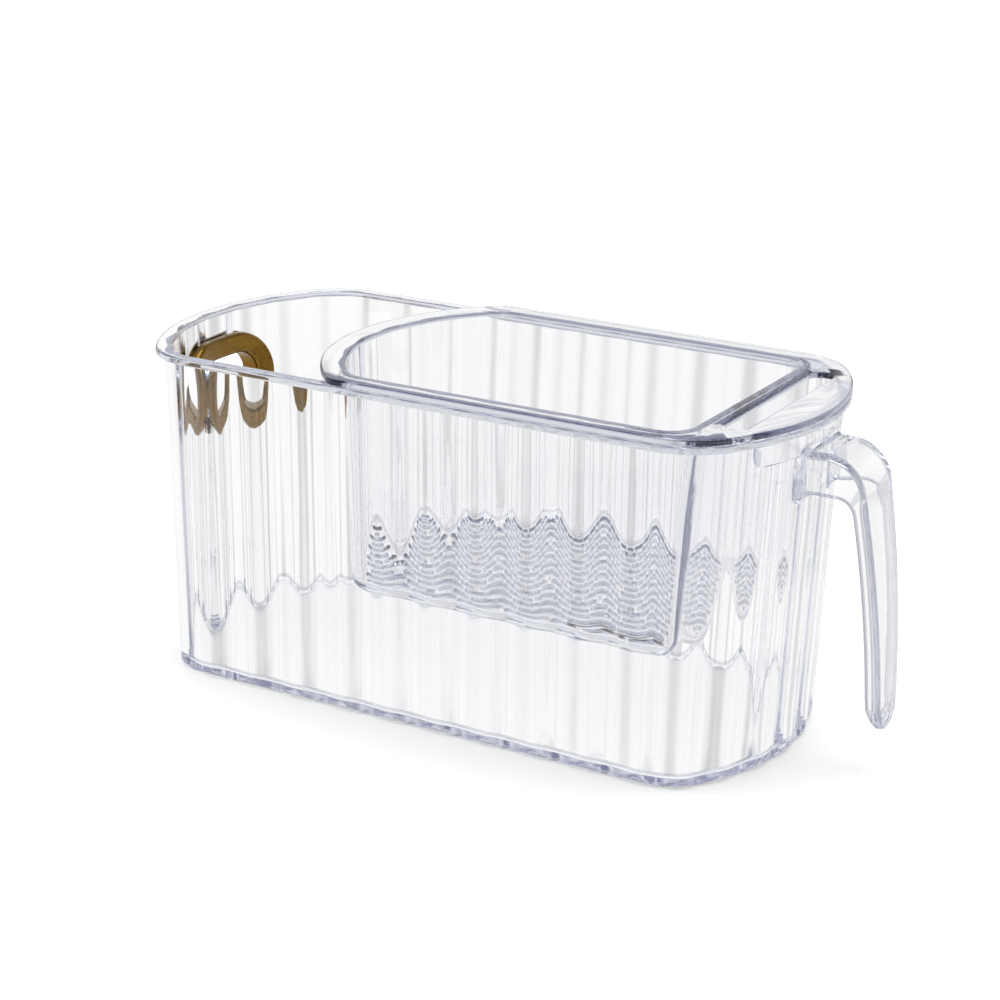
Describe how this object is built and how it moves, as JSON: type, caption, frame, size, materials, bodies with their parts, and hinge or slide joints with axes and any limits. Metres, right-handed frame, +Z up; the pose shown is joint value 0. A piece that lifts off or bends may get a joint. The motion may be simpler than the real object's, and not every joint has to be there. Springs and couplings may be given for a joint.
{
  "type": "fruit draining basket",
  "caption": "Clear fluted rectangular bin with bowed ends, a side handle and a gold grip hole, holding a lift-out draining basket with a slotted floor.",
  "frame": {"origin": "middle of the flat face that the bin rests on, with the handle left out of the measure", "axes": "+Z up, +X along the bin towards the handle, +Y across the bin"},
  "size_m": [0.2135, 0.095, 0.094],
  "materials": {
    "clear_bin": "clear, polished",
    "clear_basket": "clear, polished",
    "gold_trim": "mustard gold, glossy"
  },
  "bodies": {
    "bin_body": {"bin": "clear_bin", "grip_ring": "gold_trim"},
    "basket_body": {"drain_basket": "clear_basket"}
  },
  "joints": [
    {"name": "basket_lift", "type": "slide", "parent": "bin_body", "child": "basket_body", "axis": [0, 0, 1], "range_m": [0, 0.064]}
  ]
}
